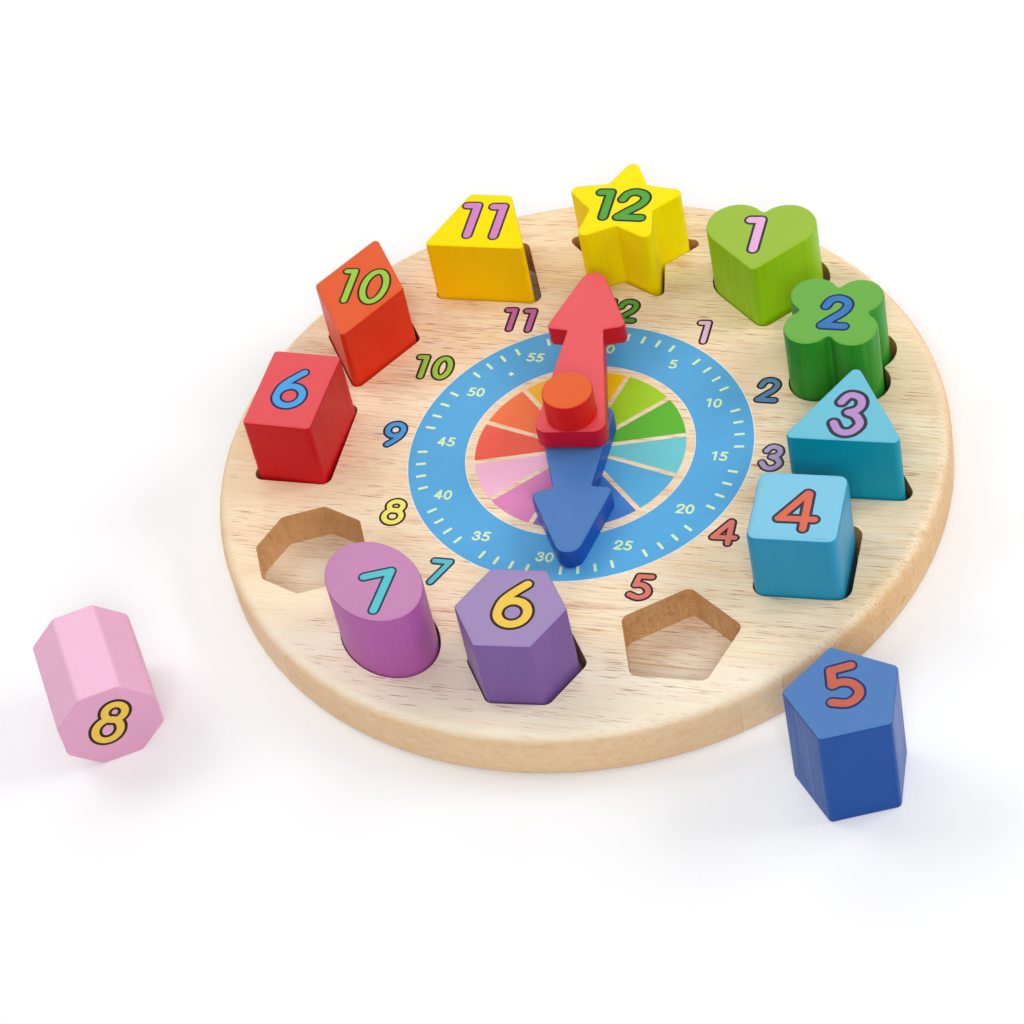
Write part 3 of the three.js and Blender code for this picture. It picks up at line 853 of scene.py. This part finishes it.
ink = {
    "magenta": tone(195, 104, 165), "orchid": tone(216, 134, 192), "lime": tone(158, 204, 74),
    "lightblue": tone(84, 164, 226), "yellow": tone(246, 238, 114), "turquoise": tone(96, 198, 206),
    "coral": tone(230, 124, 108), "brick": tone(200, 104, 86), "lilac": tone(186, 147, 204),
    "steelblue": tone(66, 124, 186), "greyblue": tone(94, 136, 182), "pink": tone(243, 190, 223),
    "palepink": tone(237, 178, 220), "greylilac": tone(188, 164, 206), "green": tone(88, 166, 66),
    "gold": tone(243, 203, 88), "orange": tone(224, 112, 88), "charcoal": tone(52, 48, 52),
    "darkbrown": tone(62, 46, 34), "navy": tone(40, 52, 96), "dusk": tone(46, 60, 108),
    "slate": tone(44, 72, 92), "greyblack": tone(62, 62, 74),
}

boardNumbers = {
    # hour: fill, outline, then each digit's name, centre and size, all in millimetres
    "12": ("green", "charcoal", [("1", -5.0, 77.5, 3.0, 10.6), ("2", 3.3, 77.5, 6.4, 10.9)]),
    "1": ("pink", "charcoal", [("1", 36.45, 67.65, 3.0, 10.6)]),
    "2": ("greyblue", "charcoal", [("2", 68.9, 37.45, 6.4, 10.9)]),
    "3": ("greylilac", "greyblack", [("3", 76.7, 1.55, 6.8, 11.4)]),
    "4": ("coral", "charcoal", [("4", 65.75, -38.2, 8.4, 10.9)]),
    "5": ("coral", "charcoal", [("5", 39.0, -68.2, 6.8, 10.5)]),
    "6": ("gold", "darkbrown", [("6", 0, -77.5, 6.5, 11.25)]),
    "7": ("turquoise", "slate", [("7", -40.15, -68.0, 6.1, 10.6)]),
    "8": ("yellow", "darkbrown", [("8", -65.9, -39.4, 6.8, 11.05)]),
    "9": ("lightblue", "navy", [("9", -76.65, 1.6, 6.5, 11.25)]),
    "10": ("lime", "darkbrown", [("1", -75.5, 39.75, 2.9, 10.9), ("0", -66.05, 39.65, 6.0, 10.8)]),
    "11": ("magenta", "charcoal", [("1", -45.1, 69.25, 3.0, 11.0), ("1", -37.1, 69.25, 3.0, 11.0)]),
}

blockNumbers = {
    # node: fill, outline, half widths of fill and outline in mm, turn in degrees,
    # then each digit's name, its centre from the block's middle and its size in mm
    "block_12_star": ("green", "charcoal", 1.75, 2.5, 0,
                      [("1", -8.1, -1.6, 4.1, 14.7), ("2", 4.5, -1.1, 9.6, 15.2)]),
    "block_1_heart": ("palepink", "greyblack", 1.95, 2.75, 0, [("1", -2.9, 0.8, 4.2, 17.0)]),
    "block_2_quatrefoil": ("steelblue", "navy", 1.7, 2.4, 0, [("2", 0.9, -0.4, 8.7, 15.2)]),
    "block_3_triangle": ("lilac", "greyblack", 1.7, 2.9, 0, [("3", 0.6, 0.4, 9.8, 19.6)]),
    "block_4_square": ("orange", "greyblack", 1.55, 2.45, 0, [("4", 0.7, -2.2, 13.2, 17.4)]),
    "block_5_pentagon": ("brick", "dusk", 1.8, 2.5, 24, [("5", 0.1, 3.2, 10.3, 16)]),
    "block_6_hexagon": ("gold", "darkbrown", 1.9, 2.7, 0, [("6", 1.4, 1.7, 11.2, 19.2)]),
    "block_7_ellipse": ("turquoise", "slate", 1.7, 2.35, 22, [("7", 1.9, -5.9, 10.1, 17.2)]),
    "block_8_octagon": ("gold", "darkbrown", 1.7, 2.7, -30, [("8", -0.7, 1.7, 9.6, 19)]),
    "block_9_rectangle": ("lightblue", "navy", 1.65, 2.35, -1.8, [("6", 0.1, 0.1, 10.6, 18.2)]),
    "block_10_rhombus": ("lime", "darkbrown", 1.4, 2.1, 0,
                         [("1", -5.6, 0.2, 3.3, 17), ("0", 6.4, 0.4, 9.1, 17.4)]),
    "block_11_trapezoid": ("orchid", "greyblack", 1.8, 2.5, 0,
                           [("1", -6.1, -0.2, 4.3, 17.7), ("1", 5.1, -0.2, 4.2, 17.7)]),
}

numberPrint = {
    # lengths in mm
    "boardFill": 1.2,
    "boardOutline": 1.95,
    "fillHeight": 0.14,
    "outlineHeight": 0.07,
    "strokeLift": 0.08,
    "lift": 0.01,
    "weld": 0.001,
    "roundSteps": 4,
    "curveSteps": 5,
    "loopSteps": 40,
    "pipeSteps": 3,
    "tipShare": 0.02,
    "roughness": 0.6,
    "gloss": 0.07,
}

inks = {
    name: makeInk("number_ink_" + name, colour, numberPrint["roughness"], numberPrint["gloss"])
    for name, colour in ink.items()
}


def smoothLine(points):
    # a smooth line through the points, as a spline with even pull
    made = []
    last = len(points) - 1
    steps = numberPrint["curveSteps"]
    for i in range(last):
        a, b, c, d = points[max(i - 1, 0)], points[i], points[i + 1], points[min(i + 2, last)]
        for step in range(steps):
            t = step / steps
            made.append(tuple(
                0.5 * (2 * b[k] + (c[k] - a[k]) * t + (2 * a[k] - 5 * b[k] + 4 * c[k] - d[k]) * t ** 2
                       + (3 * b[k] - a[k] - 3 * c[k] + d[k]) * t ** 3)
                for k in (0, 1)
            ))
    return made + [points[last]]


def ovalLine(x, y, across, up):
    steps = numberPrint["loopSteps"]
    angles = [2 * math.pi * i / steps for i in range(steps)]
    return [(x + across * math.cos(angle), y + up * math.sin(angle)) for angle in angles]


def penLines(digit, x, y, width, height):
    # the digit's centre lines, stretched to its size and moved to its place
    lines = []
    for kind, shape in digitLines[digit]:
        if kind == "loop":
            lines.append((True, ovalLine(*shape)))
        elif kind == "curved":
            lines.append((False, smoothLine(shape)))
        else:
            lines += [(False, [shape[i], shape[i + 1]]) for i in range(len(shape) - 1)]
    xs = [p[0] for _, line in lines for p in line]
    ys = [p[1] for _, line in lines for p in line]
    midX, midY = (min(xs) + max(xs)) / 2, (min(ys) + max(ys)) / 2
    wide, tall = width / (max(xs) - min(xs)), height / (max(ys) - min(ys))

    def placed(line):
        return [(x + (px - midX) * wide, y + (py - midY) * tall) for px, py in line]

    return [(loop, placed(line)) for loop, line in lines]


def penStroke(curve, loop, line, halfWidth, lift):
    # the pen's round end is a few points whose radius falls to almost nothing
    points = [(px, py, 1) for px, py in line]
    if not loop:
        steps = numberPrint["roundSteps"]
        for end, nextTo in ((0, 1), (-1, -2)):
            ax, ay = line[end]
            bx, by = line[nextTo]
            gap = math.hypot(ax - bx, ay - by)
            dx, dy = (ax - bx) / gap, (ay - by) / gap
            cap = []
            for i in range(1, steps + 1):
                angle = math.pi / 2 * i / steps
                out = halfWidth * math.sin(angle)
                cap.append((ax + dx * out, ay + dy * out, max(math.cos(angle), numberPrint["tipShare"])))
            points = cap[::-1] + points if end == 0 else points + cap
    spline = curve.splines.new("POLY")
    spline.points.add(len(points) - 1)
    for point, (px, py, share) in zip(spline.points, points):
        point.co = (px * mm, py * mm, lift * mm, 1)
        point.radius = share
    spline.use_cyclic_u = loop


def penLayer(name, digits, halfWidth, height, material):
    # round pen strokes pressed flat, each stroke of a digit a hair above the one before
    curve = bpy.data.curves.new(name, "CURVE")
    curve.dimensions = "3D"
    curve.bevel_depth = halfWidth * mm
    curve.bevel_resolution = numberPrint["pipeSteps"]
    curve.use_fill_caps = True
    for digit in digits:
        for order, (loop, line) in enumerate(penLines(*digit)):
            penStroke(curve, loop, line, halfWidth, numberPrint["strokeLift"] * order)
    layer = bpy.data.objects.new(name, curve)
    bpy.context.scene.collection.objects.link(layer)
    workOn(layer)
    bpy.ops.object.convert(target="MESH")
    layer = bpy.context.object
    editAll(layer)
    bpy.ops.transform.resize(value=(1, 1, height / halfWidth), center_override=(0, 0, 0))
    bpy.ops.mesh.remove_doubles(threshold=numberPrint["weld"] * mm)
    doneEditing()
    bpy.ops.object.shade_smooth()
    wear(layer, material)
    return layer


def printNumber(name, fill, outline, digits, fillHalf, outlineHalf, place, body):
    rim = penLayer(name + "_outline", digits, outlineHalf, numberPrint["outlineHeight"], inks[outline])
    middle = penLayer(name + "_fill", digits, fillHalf, numberPrint["fillHeight"], inks[fill])
    number = joined(name, [rim, middle])
    number.matrix_world = place
    bakePlace(number)
    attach(number, body)


printLift = numberPrint["lift"] * mm
for hour, (fill, outline, digits) in boardNumbers.items():
    place = Matrix.Translation((0, 0, dial["top"] + printLift))
    printNumber("board_number_" + hour, fill, outline, digits,
                numberPrint["boardFill"], numberPrint["boardOutline"], place, "board")


def minuteNumbers():
    size = dial["digit"]
    digits = []
    for minute, x, y in dial["minutePlaces"]:
        shown = str(minute)
        for i, digit in enumerate(shown):
            across = x + (i - (len(shown) - 1) / 2) * size["apart"]
            shape, width = ("flag1", size["oneWidth"]) if digit == "1" else (digit, size["width"])
            digits.append((shape, across, y, width, size["height"]))
    numbers = penLayer("minute_numbers", digits, size["halfWidth"], size["thickness"], markInk)
    numbers.location = (0, 0, dial["top"] + dial["film"] * dial["digitLift"])
    bakePlace(numbers)
    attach(numbers, "board")


minuteNumbers()

# the middle of each block that shows its top, in mm
blockMiddles = {
    "block_12_star": (-1.2, 108.8), "block_1_heart": (58.4, 92.2), "block_2_quatrefoil": (95.2, 51.8),
    "block_3_triangle": (109.3, -2.9), "block_4_square": (98.6, -50.5), "block_5_pentagon": (128.8, -131.8),
    "block_6_hexagon": (3.2, -109.3), "block_7_ellipse": (-51.2, -101.5), "block_9_rectangle": (-110.8, -6.4),
    "block_10_rhombus": (-99.9, 54.4), "block_11_trapezoid": (-57.9, 95.8),
}


def topPlace(node):
    x, y = blockMiddles[node]
    return Matrix.Translation((x * mm, y * mm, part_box(node)[1].z + printLift))


def lyingEndPlace(node):
    # the octagon's block lies down, so its number stands on the end that faces the viewer
    heading = math.radians(octagonEnd["heading"])
    out = Vector((math.cos(heading), math.sin(heading), 0))
    right = Vector((-out.y, out.x, 0))
    place = Matrix((right, (0, 0, 1), out)).transposed().to_4x4()
    middle = Vector(octagonEnd["centre"]) * mm
    endFace = max(corner.co.dot(out) for corner in frame["nodes"][node].data.vertices)
    place.translation = middle + out * (endFace - middle.dot(out) + printLift)
    return place


for node, (fill, outline, fillHalf, outlineHalf, turn, digits) in blockNumbers.items():
    place = topPlace(node) if node in blockMiddles else lyingEndPlace(node)
    place = place @ Matrix.Rotation(math.radians(turn), 4, "Z")
    name = node.replace("block", "number_on", 1)
    printNumber(name, fill, outline, digits, fillHalf, outlineHalf, place, node)
print("clock puzzle: outlined numbers")


def paintChip():
    # a fleck of missing ink on the ring, an uneven small disc
    shape = dial["chip"]
    clearSelection()
    bpy.ops.mesh.primitive_circle_add(
        vertices=shape["corners"], radius=shape["radius"], fill_type="NGON", location=(0, 0, 0)
    )
    chip = bpy.context.object
    chip.name = "ink_chip"
    for i, corner in enumerate(chip.data.vertices):
        corner.co *= 1 + shape["uneven"] * math.sin(shape["wave"] * i)
    chip.location = (*shape["place"], dial["top"] + dial["film"] * dial["chipLift"])
    bakePlace(chip)
    applyModifier(chip, "SOLIDIFY", thickness=dial["film"] * dial["chipThickness"], offset=1)
    wear(chip, edgeInk)
    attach(chip, "board")


paintChip()

print("clock puzzle: finished")
